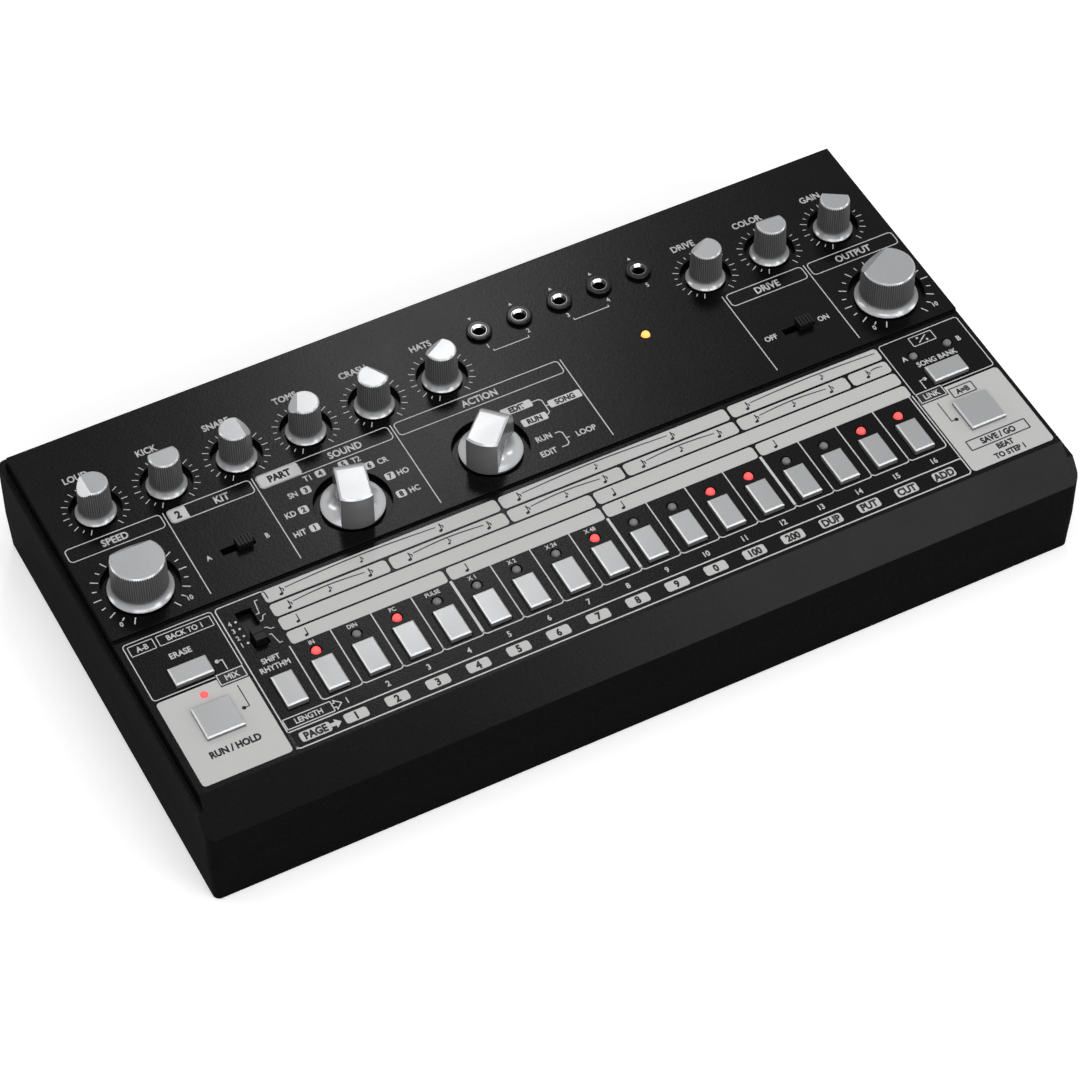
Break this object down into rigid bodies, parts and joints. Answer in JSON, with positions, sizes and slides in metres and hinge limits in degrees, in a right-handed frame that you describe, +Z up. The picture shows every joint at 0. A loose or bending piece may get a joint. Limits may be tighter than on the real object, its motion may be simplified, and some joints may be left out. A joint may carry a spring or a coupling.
{
  "type": "drum machine",
  "caption": "Desktop drum machine: black two-part case with a row of step keys and lamps, fluted knobs, pointed selectors, slide switches and sockets on top and at the back.",
  "frame": {"origin": "middle of the footprint at the underside of the rubber feet", "axes": "+Z up, +X along the width to the player's right, +Y to the back with the rear sockets"},
  "size_m": [0.305, 0.165, 0.0564],
  "materials": {
    "case_black": "fine moulded grain, semi-matte black",
    "knob_silver": "silver-grey painted plastic, fluted sides",
    "selector_silver": "silver-grey satin paint",
    "key_silver": "light silver plastic with bevelled edges",
    "slider_grey": "dark grey ribbed plastic",
    "board_green": "green lacquered circuit board",
    "ribbon_grey": "grey ribbed flat cable",
    "switch_metal": "folded tin-plated body",
    "switch_black": "black moulded switch body",
    "lamp_red": "diffused lamp, grey when off and red when lit",
    "lamp_amber": "lit amber lamp",
    "socket_chrome": "plated bush",
    "nut_black": "blackened ring nut",
    "socket_black": "black moulded socket",
    "shell_steel": "pressed steel shell",
    "foot_rubber": "matt black rubber",
    "screw_steel": "dark zinc"
  },
  "bodies": {
    "case": {"board_screws": "screw_steel", "bottom_case": "case_black", "case_screws": "screw_steel", "dc_socket": "socket_black", "din_sockets": "socket_black", "jack_circuit_board": "board_green", "jack_nuts": "nut_black", "mix_out_jack": "socket_chrome", "panel_circuit_board": "board_green", "panel_minijacks": "socket_chrome", "potentiometer_bodies": "switch_metal", "power_led": "lamp_amber", "rear_minijacks": "socket_chrome", "rear_panel": "case_black", "red_leds": "lamp_red", "ribbon_cable": "ribbon_grey", "rotary_switch_bodies": "switch_metal", "rubber_feet": "foot_rubber", "slide_switch_bodies": "switch_black", "tact_switch_bodies": "switch_black", "top_case": "case_black", "usb_socket": "shell_steel"},
    "accent_knob": {"accent_knob": "knob_silver"},
    "tempo_knob": {"tempo_knob": "knob_silver"},
    "instrument_selector": {"instrument_selector": "selector_silver"},
    "mode_selector": {"mode_selector": "selector_silver"},
    "voice_slider": {"voice_slider": "slider_grey"},
    "drive_slider": {"drive_slider": "slider_grey"},
    "scale_slider": {"scale_slider": "slider_grey"},
    "power_slider": {"power_slider": "slider_grey"},
    "step_key_01": {"step_key_01": "key_silver"},
    "function_key": {"function_key": "key_silver"},
    "clear_button": {"clear_button": "key_silver"},
    "start_stop_button": {"start_stop_button": "key_silver"},
    "bank_button": {"bank_button": "key_silver"},
    "write_button": {"write_button": "key_silver"},
    "volume_knob": {"volume_knob": "knob_silver"},
    "kick_knob": {"kick_knob": "knob_silver"},
    "snare_knob": {"snare_knob": "knob_silver"},
    "toms_knob": {"toms_knob": "knob_silver"},
    "cymbal_knob": {"cymbal_knob": "knob_silver"},
    "hats_knob": {"hats_knob": "knob_silver"},
    "drive_knob": {"drive_knob": "knob_silver"},
    "tone_knob": {"tone_knob": "knob_silver"},
    "level_knob": {"level_knob": "knob_silver"},
    "step_key_02": {"step_key_02": "key_silver"},
    "step_key_03": {"step_key_03": "key_silver"},
    "step_key_04": {"step_key_04": "key_silver"},
    "step_key_05": {"step_key_05": "key_silver"},
    "step_key_06": {"step_key_06": "key_silver"},
    "step_key_07": {"step_key_07": "key_silver"},
    "step_key_08": {"step_key_08": "key_silver"},
    "step_key_09": {"step_key_09": "key_silver"},
    "step_key_10": {"step_key_10": "key_silver"},
    "step_key_11": {"step_key_11": "key_silver"},
    "step_key_12": {"step_key_12": "key_silver"},
    "step_key_13": {"step_key_13": "key_silver"},
    "step_key_14": {"step_key_14": "key_silver"},
    "step_key_15": {"step_key_15": "key_silver"},
    "step_key_16": {"step_key_16": "key_silver"}
  },
  "joints": [
    {"name": "accent_knob_turn", "type": "hinge", "parent": "case", "child": "accent_knob", "pos_m": [-0.1333, 0.0426, 0.0438], "axis": [0, 0, 1], "range_deg": [-240, 60]},
    {"name": "tempo_knob_turn", "type": "hinge", "parent": "case", "child": "tempo_knob", "pos_m": [-0.1333, 0.0079, 0.0438], "axis": [0, 0, 1], "range_deg": [-150, 150]},
    {"name": "instrument_selector_turn", "type": "hinge", "parent": "case", "child": "instrument_selector", "pos_m": [-0.06059, 0.0079, 0.0438], "axis": [0, 0, 1], "range_deg": [-90, 120]},
    {"name": "mode_selector_turn", "type": "hinge", "parent": "case", "child": "mode_selector", "pos_m": [-0.01212, 0.0079, 0.0438], "axis": [0, 0, 1], "range_deg": [-90, 0]},
    {"name": "voice_slider_slide", "type": "slide", "parent": "case", "child": "voice_slider", "axis": [-1, 0, 0], "range_m": [0, 0.004]},
    {"name": "drive_slider_slide", "type": "slide", "parent": "case", "child": "drive_slider", "axis": [-1, 0, 0], "range_m": [0, 0.004]},
    {"name": "scale_slider_slide", "type": "slide", "parent": "case", "child": "scale_slider", "axis": [0, 1, 0], "range_m": [0, 0.00909]},
    {"name": "power_slider_slide", "type": "slide", "parent": "case", "child": "power_slider", "axis": [1, 0, 0], "range_m": [0, 0.004]},
    {"name": "step_key_01_press", "type": "slide", "parent": "case", "child": "step_key_01", "axis": [0, 0, -1], "range_m": [0, 0.0007], "stiffness_N_per_m": 1500},
    {"name": "function_key_press", "type": "slide", "parent": "case", "child": "function_key", "axis": [0, 0, -1], "range_m": [0, 0.0007], "stiffness_N_per_m": 1500},
    {"name": "clear_button_press", "type": "slide", "parent": "case", "child": "clear_button", "axis": [0, 0, -1], "range_m": [0, 0.0007], "stiffness_N_per_m": 1500},
    {"name": "start_stop_button_press", "type": "slide", "parent": "case", "child": "start_stop_button", "axis": [0, 0, -1], "range_m": [0, 0.0007], "stiffness_N_per_m": 1500},
    {"name": "bank_button_press", "type": "slide", "parent": "case", "child": "bank_button", "axis": [0, 0, -1], "range_m": [0, 0.0007], "stiffness_N_per_m": 1500},
    {"name": "write_button_press", "type": "slide", "parent": "case", "child": "write_button", "axis": [0, 0, -1], "range_m": [0, 0.0007], "stiffness_N_per_m": 1500},
    {"name": "volume_knob_turn", "type": "hinge", "parent": "case", "child": "volume_knob", "pos_m": [0.1333, 0.0079, 0.0438], "axis": [0, 0, 1], "range_deg": [-178, 122]},
    {"name": "kick_knob_turn", "type": "hinge", "parent": "case", "child": "kick_knob", "pos_m": [-0.10906, 0.0426, 0.0438], "axis": [0, 0, 1], "range_deg": [-150, 150]},
    {"name": "snare_knob_turn", "type": "hinge", "parent": "case", "child": "snare_knob", "pos_m": [-0.08483, 0.0426, 0.0438], "axis": [0, 0, 1], "range_deg": [-60, 240]},
    {"name": "toms_knob_turn", "type": "hinge", "parent": "case", "child": "toms_knob", "pos_m": [-0.06059, 0.0426, 0.0438], "axis": [0, 0, 1], "range_deg": [-215, 85]},
    {"name": "cymbal_knob_turn", "type": "hinge", "parent": "case", "child": "cymbal_knob", "pos_m": [-0.03635, 0.0426, 0.0438], "axis": [0, 0, 1], "range_deg": [-90, 210]},
    {"name": "hats_knob_turn", "type": "hinge", "parent": "case", "child": "hats_knob", "pos_m": [-0.01212, 0.0426, 0.0438], "axis": [0, 0, 1], "range_deg": [-180, 120]},
    {"name": "drive_knob_turn", "type": "hinge", "parent": "case", "child": "drive_knob", "pos_m": [0.08483, 0.0426, 0.0438], "axis": [0, 0, 1], "range_deg": [-180, 120]},
    {"name": "tone_knob_turn", "type": "hinge", "parent": "case", "child": "tone_knob", "pos_m": [0.10906, 0.0426, 0.0438], "axis": [0, 0, 1], "range_deg": [-147, 153]},
    {"name": "level_knob_turn", "type": "hinge", "parent": "case", "child": "level_knob", "pos_m": [0.1333, 0.0426, 0.0438], "axis": [0, 0, 1], "range_deg": [-118, 182]},
    {"name": "step_key_02_press", "type": "slide", "parent": "case", "child": "step_key_02", "axis": [0, 0, -1], "range_m": [0, 0.0007], "stiffness_N_per_m": 1500},
    {"name": "step_key_03_press", "type": "slide", "parent": "case", "child": "step_key_03", "axis": [0, 0, -1], "range_m": [0, 0.0007], "stiffness_N_per_m": 1500},
    {"name": "step_key_04_press", "type": "slide", "parent": "case", "child": "step_key_04", "axis": [0, 0, -1], "range_m": [0, 0.0007], "stiffness_N_per_m": 1500},
    {"name": "step_key_05_press", "type": "slide", "parent": "case", "child": "step_key_05", "axis": [0, 0, -1], "range_m": [0, 0.0007], "stiffness_N_per_m": 1500},
    {"name": "step_key_06_press", "type": "slide", "parent": "case", "child": "step_key_06", "axis": [0, 0, -1], "range_m": [0, 0.0007], "stiffness_N_per_m": 1500},
    {"name": "step_key_07_press", "type": "slide", "parent": "case", "child": "step_key_07", "axis": [0, 0, -1], "range_m": [0, 0.0007], "stiffness_N_per_m": 1500},
    {"name": "step_key_08_press", "type": "slide", "parent": "case", "child": "step_key_08", "axis": [0, 0, -1], "range_m": [0, 0.0007], "stiffness_N_per_m": 1500},
    {"name": "step_key_09_press", "type": "slide", "parent": "case", "child": "step_key_09", "axis": [0, 0, -1], "range_m": [0, 0.0007], "stiffness_N_per_m": 1500},
    {"name": "step_key_10_press", "type": "slide", "parent": "case", "child": "step_key_10", "axis": [0, 0, -1], "range_m": [0, 0.0007], "stiffness_N_per_m": 1500},
    {"name": "step_key_11_press", "type": "slide", "parent": "case", "child": "step_key_11", "axis": [0, 0, -1], "range_m": [0, 0.0007], "stiffness_N_per_m": 1500},
    {"name": "step_key_12_press", "type": "slide", "parent": "case", "child": "step_key_12", "axis": [0, 0, -1], "range_m": [0, 0.0007], "stiffness_N_per_m": 1500},
    {"name": "step_key_13_press", "type": "slide", "parent": "case", "child": "step_key_13", "axis": [0, 0, -1], "range_m": [0, 0.0007], "stiffness_N_per_m": 1500},
    {"name": "step_key_14_press", "type": "slide", "parent": "case", "child": "step_key_14", "axis": [0, 0, -1], "range_m": [0, 0.0007], "stiffness_N_per_m": 1500},
    {"name": "step_key_15_press", "type": "slide", "parent": "case", "child": "step_key_15", "axis": [0, 0, -1], "range_m": [0, 0.0007], "stiffness_N_per_m": 1500},
    {"name": "step_key_16_press", "type": "slide", "parent": "case", "child": "step_key_16", "axis": [0, 0, -1], "range_m": [0, 0.0007], "stiffness_N_per_m": 1500}
  ]
}
